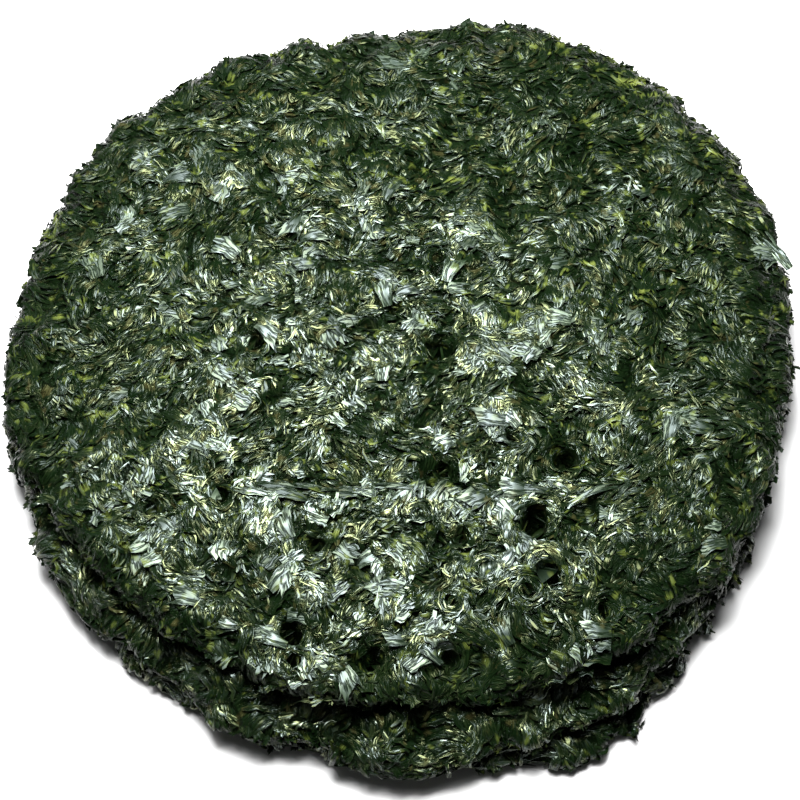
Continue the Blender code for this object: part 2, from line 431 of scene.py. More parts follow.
def thickness_and_light_of(spots, node):
    """1 where much laver lies and light and sheen are painted on, 0 where it is thin and open and painted in
    shade.
    """
    share = ramp(noise_at(spots, THICK_PATCH, 17), *PATCH_EDGE)
    if node != "layer_top":
        return LOWER_LAYERS_SHARE * share
    away = np.linalg.norm(spots[:, :2] - top_middle - THICK_AND_LIT_MIDDLE, axis=1)
    return np.maximum(share * (1 - LOST_TOWARDS_RIM * ramp(away, *THICK_AND_LIT_REACH)), in_drift(spots))


print("thick patches are about", THICK_PATCH / MM, "mm wide")


# %% [markdown]
# ## Where blades cover the felt
# Blades lie only where a layer can be seen, and not in the pits. What the layer above hides is found
# from the outline of that layer's solid.

# %% What each layer shows
def outside(spots, above_node, margin):
    """1 where a point is not under the layer above, by that layer's own outline."""
    above = rows_of(frame["nodes"][above_node].data.vertices, "co")
    middle = (above.min(axis=0) + above.max(axis=0))[:2] / 2
    turns = np.arctan2(*(above[:, :2] - middle).T[::-1])
    reaches = np.linalg.norm(above[:, :2] - middle, axis=1)
    steps = np.arange(180) * math.tau / 180
    rim = [reaches[np.abs((turns - step + math.pi) % math.tau - math.pi) < 0.04].max() for step in steps]
    away = spots[:, :2] - middle
    limit = np.interp(np.arctan2(away[:, 1], away[:, 0]), steps, rim, period=math.tau)
    return ramp(np.linalg.norm(away, axis=1), limit - margin, limit - margin / 2)


def rim_of(node, spots):
    """The level way out from the layer's middle, and 1 on the upper half of its rim."""
    low, high = (np.array(corner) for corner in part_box(node))
    out = unit((spots - (low + high) / 2) * (1, 1, 0))
    ups = rows_of(cores[node].data.vertices, "normal")
    steep = ramp(np.sum(out * ups, axis=1), 0.55, 0.85)
    return out, steep * ramp(spots[:, 2], low[2] + 1 * MM, low[2] + 3 * MM)


# %% [markdown]
# ## Storing what the nodes read
# Each core gets its numbers for every point: how far blades cover it, how thick the felt is and how much
# light is painted on it, and which way leads out at its rim. The top layer also gets its pale drifts and
# the band below its press line.

# %% Store the cover
HIDDEN_MARGIN = 6 * MM
BAND_STARTS = (0.3 * MM, 1.0 * MM)  # below the press line
BAND_ENDS = (3.0 * MM, 4.5 * MM)
for node, above_node in (("layer_top", None), ("layer_middle", "layer_top"), ("layer_bottom", "layer_middle")):
    mesh = cores[node].data
    spots = rows_of(mesh.vertices, "co")
    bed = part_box(node)[0].z
    cover = ramp(spots[:, 2], bed + 0.4 * MM, bed + 1 * MM)
    if above_node:
        cover *= outside(spots, above_node, HIDDEN_MARGIN)
    else:
        cover *= ramp(beyond_pits(spots), -0.3 * MM, 0.8 * MM)
    thick = thickness_and_light_of(spots, node)
    if node == "layer_top":
        store(mesh, "pale", cover * np.maximum(in_drift(spots), 0.2 * thick))
    # Painted light and shade: the films lighten colour and sheen where this number is high and darken them where
    # it is low.
    store(mesh, "zone", thick)
    store(mesh, "thick", cover * (0.25 + 0.75 * thick))
    store(mesh, "cover", cover * (0.5 + 0.5 * thick))
    out, rim = rim_of(node, spots)
    store(mesh, "out", out)
    store(mesh, "rim", rim * (cover > 0))
    if node == "layer_top":
        press = across_press_lines(spots)
        below = ramp(-press[:, 1], *BAND_STARTS) * (1 - ramp(-press[:, 1], *BAND_ENDS))
        store(mesh, "press", below * (np.abs(press[:, 0]) < 1 * MM) * (spots[:, 1] < 0))
    print(node, "is covered over", round(100 * float(cover.mean())), "% of its points")


# %% [markdown]
# ## Building node trees
# Geometry Nodes and materials are both made of nodes with inputs. One helper adds a node, sets its
# plain inputs and links the others.

# %% Helper for nodes
def add_node(tree, kind, inputs=None, **settings):
    """Adds one node. Each input is a value, or the output socket that feeds it."""
    made = tree.nodes.new(kind)
    for key, value in settings.items():
        setattr(made, key, value)
    for socket, source in (inputs or {}).items():
        if isinstance(source, bpy.types.NodeSocket):
            tree.links.new(source, made.inputs[socket])
        else:
            made.inputs[socket].default_value = source
    return made


def result(tree, kind, inputs=None, **settings):
    """Adds one node and gives its first output."""
    return add_node(tree, kind, inputs, **settings).outputs[0]


def maths(tree, operation, *values):
    """A sum or another operation on numbers or number sockets."""
    return result(tree, "ShaderNodeMath", dict(enumerate(values)), operation=operation)


def times(tree, first, second):
    """The product of two numbers."""
    return maths(tree, "MULTIPLY", first, second)


def scaled(tree, arrow, length):
    """An arrow made longer or shorter."""
    return result(tree, "ShaderNodeVectorMath", {0: arrow, "Scale": length}, operation="SCALE")


def added(tree, first, second):
    """Two arrows, one after the other."""
    return result(tree, "ShaderNodeVectorMath", {0: first, 1: second}, operation="ADD")


def named(tree, name, kind="FLOAT"):
    """Reads the value stored under a name."""
    return result(tree, "GeometryNodeInputNamedAttribute", {"Name": name}, data_type=kind)


def kept(tree, geometry, name, value, kind="FLOAT", domain="POINT"):
    """Stores a value under a name."""
    inputs = {"Geometry": geometry, "Name": name, "Value": value}
    return result(tree, "GeometryNodeStoreNamedAttribute", inputs, data_type=kind, domain=domain)


def chance(tree, least, most, seed):
    """A random number for each item."""
    return add_node(tree, "FunctionNodeRandomValue", {2: least, 3: most, 8: seed}, data_type="FLOAT").outputs[1]


def sown_points(tree, given):
    """Random points on the felt, as dense as the value stored under the given name says."""
    thickness = times(tree, named(tree, given["Where"]), given["Density"])
    return add_node(
        tree, "GeometryNodeDistributePointsOnFaces",
        {"Mesh": given["Geometry"], "Density": thickness, "Seed": given["Seed"]}, distribute_method="RANDOM",
    ).outputs


def crumpling(tree, size):
    """An arrow that noise turns and lengthens from place to place."""
    crumple = add_node(tree, "ShaderNodeTexNoise", {"Scale": 300.0, "Detail": 1.0, "Roughness": 0.5})
    return scaled(tree, added(tree, crumple.outputs["Color"], (-0.5, -0.5, -0.5)), size)


def new_tree(name, inputs):
    """An empty Geometry Nodes tree with named inputs."""
    tree = bpy.data.node_groups.new(name, "GeometryNodeTree")
    tree.interface.new_socket("Geometry", in_out="INPUT", socket_type="NodeSocketGeometry")
    for label, kind in inputs.items():
        tree.interface.new_socket(label, in_out="INPUT", socket_type="NodeSocket" + kind)
    tree.interface.new_socket("Geometry", in_out="OUTPUT", socket_type="NodeSocketGeometry")
    return tree, add_node(tree, "NodeGroupInput").outputs


# %% [markdown]
# ## Pleated ribbons
# A wet blade that dries on the felt shrinks into pleats along its length, like a gathered ribbon. First
# come the rails that ribbons follow. Each starts at a random point as a speck of many points, and takes
# short steps along the lie. One more point stays behind at each step, so the rail bends with the lie.

# %% Walk along the lie
def rails(tree, given):
    """Lines of points that step along the lie of the felt, each a little above it."""
    felt = given["Geometry"]
    points = sown_points(tree, given)["Points"]
    draws = {
        "stray": (times(tree, given["Stray"], -1.0), given["Stray"]), "tint": (0.0, 1.0),
        "rise": (given["Least lift"], given["Most lift"]), "breadth": (0.55, 1.25), "stride": (0.6, 1.3),
    }
    for seed, (name, limits) in enumerate(draws.items(), 3):
        points = kept(tree, points, name, chance(tree, *limits, seed))
    speck = result(tree, "GeometryNodeCurvePrimitiveLine", {"End": (1e-6, 0, 0)})
    count = maths(tree, "ADD", given["Steps"], 1)
    speck = result(tree, "GeometryNodeResampleCurve", {"Curve": speck, "Count": count})
    specks = result(tree, "GeometryNodeInstanceOnPoints", {"Points": points, "Instance": speck})
    strands = result(tree, "GeometryNodeRealizeInstances", {0: specks})
    place = result(tree, "GeometryNodeInputPosition")

    def felt_value(value):
        inputs = {"Mesh": felt, "Value": value, "Sample Position": place}
        return result(tree, "GeometryNodeSampleNearestSurface", inputs, data_type="FLOAT_VECTOR")

    walk = add_node(tree, "GeometryNodeRepeatInput")
    walked = add_node(tree, "GeometryNodeRepeatOutput")
    walk.pair_with_output(walked)
    tree.links.new(given["Steps"], walk.inputs["Iterations"])
    tree.links.new(strands, walk.inputs["Geometry"])
    along = felt_value(named(tree, "lie", "FLOAT_VECTOR"))
    sideways = felt_value(named(tree, "across", "FLOAT_VECTOR"))
    ahead = scaled(tree, along, maths(tree, "COSINE", named(tree, "stray")))
    aside = scaled(tree, sideways, maths(tree, "SINE", named(tree, "stray")))
    stride = times(tree, given["Step"], named(tree, "stride"))
    rail = add_node(tree, "GeometryNodeSplineParameter").outputs
    ranks = {2: rail["Index"], 3: walk.outputs["Iteration"]}
    moves = result(tree, "FunctionNodeCompare", ranks, data_type="INT", operation="GREATER_THAN")
    stepped = result(tree, "GeometryNodeSetPosition", {
        "Geometry": walk.outputs["Geometry"], "Selection": moves,
        "Offset": scaled(tree, added(tree, ahead, aside), stride),
    })
    tree.links.new(stepped, walked.inputs["Geometry"])

    hump = maths(tree, "SINE", times(tree, rail["Factor"], math.pi))
    height = maths(tree, "MULTIPLY_ADD", hump, given["Arch"], named(tree, "rise"))
    up = felt_value(result(tree, "GeometryNodeInputNormal"))
    nearest = add_node(
        tree, "GeometryNodeProximity", {"Geometry": felt, "Sample Position": place}, target_element="FACES"
    )
    landed = result(tree, "GeometryNodeSetPosition", {
        "Geometry": walked.outputs["Geometry"], "Position": nearest.outputs["Position"],
        "Offset": scaled(tree, up, height),
    })
    turned = result(tree, "GeometryNodeSetCurveNormal", {"Curve": landed, "Normal": up}, mode="FREE")
    return kept(tree, turned, "along", rail["Length"])


# %% [markdown]
# ## The pleats of a ribbon
# The pleats are a zigzag line that is swept along each rail. Its corners go up and down in turn, by
# uneven amounts, and the ribbon narrows towards both ends.

# %% Fold a zigzag profile
def zigzag(tree, given):
    """A line across the ribbon, folded up and down once for each pleat."""
    half = times(tree, given["Width"], 0.5)
    left = result(tree, "ShaderNodeCombineXYZ", {"Y": times(tree, half, -1.0)})
    right = result(tree, "ShaderNodeCombineXYZ", {"Y": half})
    profile = result(tree, "GeometryNodeCurvePrimitiveLine", {"Start": left, "End": right})
    count = maths(tree, "MULTIPLY_ADD", given["Pleats"], 2.0, 1.0)
    profile = result(tree, "GeometryNodeResampleCurve", {"Curve": profile, "Count": count})
    index = result(tree, "GeometryNodeInputIndex")
    side = maths(tree, "MULTIPLY_ADD", maths(tree, "MODULO", index, 2.0), 2.0, -1.0)
    fold = times(tree, times(tree, side, given["Fold"]), chance(tree, 0.4, 1.5, 8))
    uneven = result(tree, "ShaderNodeCombineXYZ", {"X": fold, "Y": chance(tree, -0.2 * MM, 0.2 * MM, 9)})
    folded = result(tree, "GeometryNodeSetPosition", {"Geometry": profile, "Offset": uneven})
    return kept(tree, folded, "athwart", add_node(tree, "GeometryNodeSplineParameter").outputs["Length"])


# %% [markdown]
# ## Sweeping the ribbons
# The zigzag is swept along the rails, and noise wrinkles and crumples the result, so that no two ribbons
# are alike. Edges that run along a ribbon are kept sharp, so that each pleat catches its own light.

# %% Build the ribbon tree
GRAIN_LENGTH = 6 * MM
GRAIN_WIDTH = 0.9 * MM


def ribbon_tree():
    """The node tree that lays pleated ribbons along the lie of the felt."""
    tree, given = new_tree("Lay ribbons", {
        "Where": "String", "Density": "Float", "Seed": "Int", "Steps": "Int", "Step": "Float",
        "Stray": "Float", "Width": "Float", "Pleats": "Int", "Fold": "Float", "Least lift": "Float",
        "Most lift": "Float", "Arch": "Float", "Wrinkle": "Float", "Crumple": "Float", "Laver": "Material",
    })
    share = add_node(tree, "GeometryNodeSplineParameter").outputs["Factor"]
    taper = maths(tree, "SINE", maths(tree, "MULTIPLY_ADD", share, 0.76 * math.pi, 0.12 * math.pi))
    size = times(tree, named(tree, "breadth"), maths(tree, "POWER", taper, 0.6))
    sweep = {"Curve": rails(tree, given), "Profile Curve": zigzag(tree, given), "Scale": size}
    swept = result(tree, "GeometryNodeCurveToMesh", sweep)

    lengthwise = times(tree, named(tree, "along"), 1 / GRAIN_LENGTH)
    crosswise = times(tree, named(tree, "athwart"), 1 / GRAIN_WIDTH)
    own = times(tree, named(tree, "tint"), 40.0)
    grain = result(tree, "ShaderNodeCombineXYZ", {0: crosswise, 1: lengthwise, 2: own})
    grained = kept(tree, swept, "grain", grain, "FLOAT_VECTOR")
    own_grain = named(tree, "grain", "FLOAT_VECTOR")
    wrinkle = add_node(tree, "ShaderNodeTexNoise", {"Vector": own_grain, "Scale": 1.3, "Detail": 1.0})
    raised = times(tree, maths(tree, "SUBTRACT", wrinkle.outputs["Fac"], 0.5), given["Wrinkle"])
    outward = result(tree, "GeometryNodeInputNormal")
    push = added(tree, crumpling(tree, given["Crumple"]), scaled(tree, outward, raised))
    crumpled = result(tree, "GeometryNodeSetPosition", {"Geometry": grained, "Offset": push})

    smooth = result(tree, "GeometryNodeSetShadeSmooth", {0: crumpled})
    athwart = [
        result(
            tree, "GeometryNodeFieldAtIndex", {"Index": end, "Value": named(tree, "athwart")},
            data_type="FLOAT", domain="POINT",
        )
        for end in list(add_node(tree, "GeometryNodeInputMeshEdgeVertices").outputs)[:2]
    ]
    gap = maths(tree, "ABSOLUTE", maths(tree, "SUBTRACT", *athwart))
    creased = result(tree, "GeometryNodeSetShadeSmooth", {
        "Geometry": smooth, "Selection": maths(tree, "LESS_THAN", gap, 1e-6), "Shade Smooth": False,
    }, domain="EDGE")
    real = result(tree, "GeometryNodeRealizeInstances", {0: creased})
    dressed = result(tree, "GeometryNodeSetMaterial", {"Geometry": real, "Material": given["Laver"]})
    add_node(tree, "NodeGroupOutput", {0: dressed})
    return tree


laying = ribbon_tree()
print("ribbon tree:", len(laying.nodes), "nodes")


# %% [markdown]
# ## Torn flakes
# Some scraps of film stayed flat and wide. A flake is a small grid with a torn outline and a few soft
# folds. Small folded flakes, broad sheets and long strips are three families of the same form, each
# with its own lengths and widths.

# %% Make the flakes
FLAKE_ROWS, FLAKE_FOLDS = 6, 4


def flake(name, length, width, folding, sway, draw):
    """One torn scrap of film: folds fan out from a narrow root to a torn edge, and bend as they go."""
    root = draw.uniform(0.45, 0.85)
    bend = sway * draw.uniform(-0.9, 0.9)
    dome = draw.uniform(0.0, 0.12) * length
    columns = 2 * FLAKE_FOLDS + 1
    reach = [draw.uniform(0.6, 1.1) for _ in range(columns)]
    ragged = [draw.uniform(0.65, 1.15) for _ in range(FLAKE_ROWS)]
    places = [2 * column / (columns - 1) - 1 + draw.uniform(-0.08, 0.08) for column in range(columns)]
    fold = [draw.uniform(0.5, 1.4) * (1 if column % 2 else -1) for column in range(columns)]
    bm = bmesh.new()
    grain = bm.verts.layers.float_vector.new("grain")
    grid = []
    for row in range(FLAKE_ROWS):
        line = []
        for column in range(columns):
            along = row / (FLAKE_ROWS - 1) * reach[column]
            spread = (root + (1 - root) * math.sin(along * 2.4) / 0.97) * width / 2 * ragged[row]
            heading = bend * along + 0.5 * sway * places[column] * along
            x = (along - 0.5) * length * math.cos(heading * 0.5)
            y = places[column] * spread + (along - 0.5) * length * math.sin(heading * 0.5)
            z = dome * (1 - (2 * along - 1) ** 2) + folding * width * fold[column] * (0.3 + along)
            vert = bm.verts.new((x, y, z))
            vert[grain] = (places[column] * width / 2 / GRAIN_WIDTH, along * length / GRAIN_LENGTH, 7 * bend)
            line.append(vert)
        grid.append(line)
    for row in range(FLAKE_ROWS - 1):
        for column in range(columns - 1):
            near, far = grid[row][column : column + 2], grid[row + 1][column : column + 2]
            bm.faces.new((near[0], far[0], far[1], near[1])).smooth = True
            if column and folding > 0.01:
                bm.edges.get((near[0], far[0])).smooth = False
    mesh = bpy.data.meshes.new(name)
    bm.to_mesh(mesh)
    bm.free()
    return bpy.data.objects.new(name, mesh)


def flake_family(name, count, length, width, folding, seed, sway=1.0):
    """A collection of like flakes. Each length and width is drawn from its (least, most)."""
    draw = random.Random(seed)
    kin = bpy.data.collections.new(name)
    for number in range(count):
        long, wide = draw.uniform(*length), draw.uniform(*width)
        kin.objects.link(flake(f"{name}_{number}", long, wide, folding, sway, draw))
    print(name, "has", count, "flakes")
    return kin


flakes = flake_family("flakes", 9, (4.5 * MM, 8.5 * MM), (3 * MM, 5.5 * MM), 0.026, 12)
sheets = flake_family("sheets", 7, (6 * MM, 11 * MM), (4 * MM, 7 * MM), 0.006, 14)
strips = flake_family("strips", 5, (9 * MM, 18 * MM), (2.5 * MM, 4.5 * MM), 0.012, 15, sway=0.3)


# %% [markdown]
# ## Sowing flakes
# A second tree scatters the flakes. It turns each one along the lie with a stray, leans it a little and
# crumples all of them by noise, so that copies of one flake don't look alike.

# %% Build the flake tree
def flake_tree():
    """The node tree that sows flakes on the felt."""
    tree, given = new_tree("Sow flakes", {
        "Flakes": "Collection", "Where": "String", "Density": "Float", "Seed": "Int",
        "Level": "Bool", "Along": "String", "Stray": "Float", "Lean": "Float",
        "Least size": "Float", "Most size": "Float", "Least lift": "Float", "Most lift": "Float",
        "Crumple": "Float", "Laver": "Material",
    })
    sown = sown_points(tree, given)
    lift = scaled(tree, sown["Normal"], chance(tree, given["Least lift"], given["Most lift"], 5))
    raised = result(tree, "GeometryNodeSetPosition", {"Geometry": sown["Points"], "Offset": lift})
    level = {"Switch": given["Level"], "False": sown["Rotation"]}
    base = result(tree, "GeometryNodeSwitch", level, input_type="ROTATION")
    combed = result(
        tree, "FunctionNodeAlignRotationToVector",
        {"Rotation": base, "Vector": named(tree, given["Along"], "FLOAT_VECTOR")},
        axis="X", pivot_axis="Z",
    )
    most = result(tree, "ShaderNodeCombineXYZ", {0: given["Lean"], 1: given["Lean"], 2: given["Stray"]})
    jumble = result(
        tree, "FunctionNodeRandomValue", {0: scaled(tree, most, -1.0), 1: most, 8: 11}, data_type="FLOAT_VECTOR"
    )
    turn = result(tree, "FunctionNodeEulerToRotation", {0: jumble})
    turns = {"Rotation": combed, "Rotate By": turn}
    laid = result(tree, "FunctionNodeRotateRotation", turns, rotation_space="LOCAL")
    kinds = result(
        tree, "GeometryNodeCollectionInfo",
        {"Collection": given["Flakes"], "Separate Children": True, "Reset Children": True},
    )
    which = add_node(tree, "FunctionNodeRandomValue", {4: 0, 5: 1000, 8: 37}, data_type="INT").outputs[2]
    copies = result(tree, "GeometryNodeInstanceOnPoints", {
        "Points": raised, "Instance": kinds, "Pick Instance": True, "Instance Index": which,
        "Rotation": laid, "Scale": chance(tree, given["Least size"], given["Most size"], 23),
    })
    tinted = kept(tree, copies, "tint", chance(tree, 0.0, 1.0, 41), domain="INSTANCE")
    real = result(tree, "GeometryNodeRealizeInstances", {0: tinted})
    crumple = crumpling(tree, given["Crumple"])
    crumpled = result(tree, "GeometryNodeSetPosition", {"Geometry": real, "Offset": crumple})
    dressed = result(tree, "GeometryNodeSetMaterial", {"Geometry": crumpled, "Material": given["Laver"]})
    add_node(tree, "NodeGroupOutput", {0: dressed})
    return tree


sowing = flake_tree()
print("flake tree:", len(sowing.nodes), "nodes")


# %% [markdown]
# ## Thin edges
# On some stretches of the rim only single blades stick out. The light that would come through them is
# painted into their colour, so they look yellow green there.

# %% Thin edges
GLOW_ARCS = ((12, 72), (98, 116), (156, 172))
GLOW_REACH = (99 * MM, 108 * MM)


def painted_glow_edge(spots):
    """1 along the stretches of the rim where single blades stick out, where light through them is painted on as a
    glow.
    """
    turns = np.degrees(np.arctan2(*(spots[:, :2] - top_middle).T[::-1]))
    arcs = sum(ramp(turns, start, start + 6) * (1 - ramp(turns, end - 6, end)) for start, end in GLOW_ARCS)
    return arcs * ramp(np.linalg.norm(spots[:, :2] - top_middle, axis=1), *GLOW_REACH)


print("thin edges over", sum(end - start for start, end in GLOW_ARCS), "degrees of the rim")

# %% [markdown]
# ## Running a tree
# A tree runs as a modifier on a stand-in object that shares the felt's mesh. Its result becomes a plain
# mesh, and the stand-in goes. Blades that would hang through the underside are lifted to just above it.

# %% Run a tree on a core
LOWEST = 0.15 * MM
LENGTHS = ("Step", "Width", "Fold", "Least_lift", "Most_lift", "Arch", "Wrinkle", "Crumple")


def grow(name, tree, lift, shine=1.0, **sizes):
    """Runs a tree on the core of the named layer and gives one plain mesh. Lengths are in millimetres."""
    sizes |= {"Least_lift": lift[0], "Most_lift": lift[1]}
    node = "layer_" + name.split("_")[0]
    core = cores[node]
    bed = new_object(name + "_bed", core.data)
    modifier = bed.modifiers.new("grow", "NODES")
    modifier.node_group = tree
    sockets = {item.name: item.identifier for item in tree.interface.items_tree if item.in_out == "INPUT"}
    for label, value in sizes.items():
        if label in LENGTHS:
            value *= MM
        modifier[sockets[label.replace("_", " ")]] = value
    graph = bpy.context.evaluated_depsgraph_get()
    mesh = bpy.data.meshes.new_from_object(bed.evaluated_get(graph), depsgraph=graph)
    bpy.data.objects.remove(bed)
    mesh.name = name
    mesh.materials.clear()
    mesh.materials.append(sizes["Laver"])
    spots = rows_of(mesh.vertices, "co")
    if node == "layer_top":
        spots = out_of_pits(spots)
    spots = kept_inside(spots)
    spots[:, 2] = np.maximum(spots[:, 2], LOWEST)
    mesh.vertices.foreach_set("co", spots.ravel())
    mesh.update()
    # Painted light and shade for the films; shine scales it, so the fringe is painted darker and duller.
    store(mesh, "zone", shine * thickness_and_light_of(spots, node))
    if node == "layer_top":
        # Painted glow: the thin rim blades are marked here, and the films push their colour towards olive and
        # lime.
        store(mesh, "thin", painted_glow_edge(spots))
    kept_names = ("zone", "thin", "position", "tint", "grain", "sharp_face", "sharp_edge")
    scratch = [each.name for each in mesh.attributes if each.name[0] != "." and each.name not in kept_names]
    for each in scratch:
        if each in mesh.attributes:
            mesh.attributes.remove(mesh.attributes[each])
    piece = new_object(name, mesh)
    triangles = sum(len(face.vertices) - 2 for face in mesh.polygons)
    ups = rows_of(mesh.polygons, "normal")[:, 2]
    print(name, triangles, "triangles,", round(100 * float((ups > 0).mean())), "% face up")
    return piece


# %% [markdown]
# ## The look of dried laver
# Dry laver is a thin film: nearly black green where it is thick, olive or amber where it is thin, and
# glossy, so that each pleat catches the light along its crest. Colour changes from blade to blade by
# the stored tint, and in drifts over the cake. The finest lengthwise wrinkles come from noise stretched
# along the stored grain. Their valleys get painted shade in colour and sheen, and a stored number paints
# light and shade over the cake as well.

# %% Laver materials
LEAF_SHEEN = ((0.86, 0.98, 0.48), (0.78, 0.96, 0.90))
PALE_SHEEN = ((0.82, 1.0, 0.76), (0.82, 0.97, 0.98))
GREEN_BLACK = (0.002, 0.006, 0.0015)


def stored(tree, name, socket="Fac"):
    """Reads a value that is stored on the mesh."""
    return add_node(tree, "ShaderNodeAttribute", attribute_name=name).outputs[socket]


def speckle(tree, at, scale, detail=1.0):
    """Smooth noise round 0.5, read at an arrow."""
    return add_node(tree, "ShaderNodeTexNoise", {"Vector": at, "Scale": scale, "Detail": detail}).outputs["Fac"]


def blend(tree, share, first, second, way="MIX"):
    """Mixes or adds two colours."""
    inputs = {"Factor": share, 6: first, 7: second}
    return add_node(tree, "ShaderNodeMix", inputs, data_type="RGBA", blend_type=way).outputs[2]


def laver(name, light, accents, sheen=LEAF_SHEEN, roughness=0.25, relief=0.11 * MM, gleam=0.8, fineness=1.2):
    """A dark glossy film. The tint picks between dark and light, and accents stain some drifts of it. Colour and
    sheen get painted shade in the wrinkle valleys and where less light is painted on.
    """
    material = bpy.data.materials.new(name)
    material.use_nodes = True
    tree = material.node_tree
    shader = tree.nodes["Principled BSDF"]
    places = add_node(tree, "ShaderNodeTexCoord").outputs["Object"]
    tint, zone, thin = (stored(tree, each) for each in ("tint", "zone", "thin"))
    grain = stored(tree, "grain", "Vector")

    valley = maths(tree, "ABSOLUTE", maths(tree, "SUBTRACT", speckle(tree, grain, fineness, 2.0), 0.5))
    ridge = result(
        tree, "ShaderNodeMapRange", {"Value": valley, "From Max": 0.09}, interpolation_type="SMOOTHSTEP"
    )
    # Painted shade: the colour is darker in the wrinkle valleys and where the stored number paints less light.
    crease_shaded_tint = times(tree, tint, ridge)
    lit = times(tree, crease_shaded_tint, maths(tree, "MULTIPLY_ADD", zone, 0.75, 0.25))
    body = blend(tree, lit, (*GREEN_BLACK, 1), (*light, 1))

    drift = speckle(tree, places, 260.0)
    streak = speckle(tree, grain, 0.9)
    push = maths(tree, "MULTIPLY_ADD", streak, 0.3, times(tree, tint, 0.1))
    push = maths(tree, "MULTIPLY_ADD", drift, 0.75, push)
    # Painted glow: light through the thin rim blades is painted as olive and lime.
    push = maths(tree, "MULTIPLY_ADD", thin, 0.08, push)
    stain = add_node(tree, "ShaderNodeValToRGB", {"Fac": push})
    while len(stain.color_ramp.elements) < len(accents):
        stain.color_ramp.elements.new(0.5)
    for point, (place, colour) in zip(stain.color_ramp.elements, accents):
        point.position = place
        point.color = (*colour, 1)
    tree.links.new(blend(tree, 1.0, body, stain.outputs[0], "ADD"), shader.inputs["Base Color"])

    mood = times(tree, maths(tree, "ADD", drift, streak), 0.5)
    hue = result(tree, "ShaderNodeMapRange", {"Value": mood, "From Min": 0.44, "From Max": 0.54})
    # Painted shade on the sheen: the reflection is dimmed in the wrinkle valleys and where less light is painted
    # on.
    level = result(tree, "ShaderNodeMapRange", {"Value": zone, "To Min": 0.28, "To Max": 1.0})
    shaded_sheen_share = times(tree, level, maths(tree, "MULTIPLY_ADD", ridge, 0.92, 0.08))
    shine = scaled(tree, blend(tree, hue, (*sheen[0], 1), (*sheen[1], 1)), shaded_sheen_share)
    tree.links.new(shine, shader.inputs["Specular Tint"])
    shader.inputs["Specular IOR Level"].default_value = gleam

    rough = result(tree, "ShaderNodeMapRange", {
        "Value": speckle(tree, places, 300.0), "From Min": 0.3, "From Max": 0.7,
        "To Min": roughness - 0.05, "To Max": roughness + 0.10,
    })
    tree.links.new(rough, shader.inputs["Roughness"])
    bump = add_node(tree, "ShaderNodeBump", {"Height": ridge, "Distance": relief})
    tree.links.new(bump.outputs["Normal"], shader.inputs["Normal"])
    return material


# %% [markdown]
# ## Colours and films
# The blades share one film. Broad sheets are paler and less sharp in their shine, the lower layers have
# fewer light stains, a painted shade that keeps them darker, and the frayed edges are nearly matt. Each
# stain starts at a place on a ramp from 0 to 1.

# %% Mix the films
NONE = (0, 0, 0)
MOSS = (0.007, 0.013, 0.004)
OLIVE = (0.036, 0.046, 0.008)
LIME = (0.100, 0.118, 0.024)
AMBER = (0.020, 0.016, 0.006)
STAINS = ((0.0, AMBER), (0.37, AMBER), (0.45, NONE), (0.67, NONE), (0.75, OLIVE), (0.87, LIME))
SHADED_LOWER_STAINS = ((0.0, AMBER), (0.37, AMBER), (0.45, NONE), (0.68, NONE), (0.80, OLIVE))
EDGE_STAINS = ((0.0, NONE), (0.66, NONE), (0.76, OLIVE), (0.90, LIME))

film = laver("laver_film", MOSS, STAINS)
felt = laver(
    "laver_felt", (0.006, 0.012, 0.004), STAINS, roughness=0.26, relief=0.4 * MM, gleam=0.4, fineness=2.0
)
pale_film = laver(
    "laver_pale_film", (0.014, 0.026, 0.012), STAINS,
    sheen=PALE_SHEEN, roughness=0.40, relief=0.07 * MM, gleam=0.85, fineness=0.9,
)
# Painted shade: the lower layers' copy of the film has no lime stains, so they look darker.
shaded_lower_film = laver("laver_deep_film", MOSS, SHADED_LOWER_STAINS)
# The nearly matt edge film is also laid as painted shade on the low faces of other blades, below.
edge_and_shade_film = laver("laver_edge_film", (0.008, 0.014, 0.004), EDGE_STAINS, roughness=0.36, gleam=0.22)
print("materials:", [each.name for each in (film, felt, pale_film, shaded_lower_film, edge_and_shade_film)])


# %% [markdown]
# ## Laying the top layer
# Broad pleats make the body of the layer. Ribbons, long strands and fine threads cross over them. Flakes
# and pale sheets lie between, strips lie along the press line, and a fringe frays the rim. Kinds are
# grown one by one, so that each can be thinned out or changed alone.

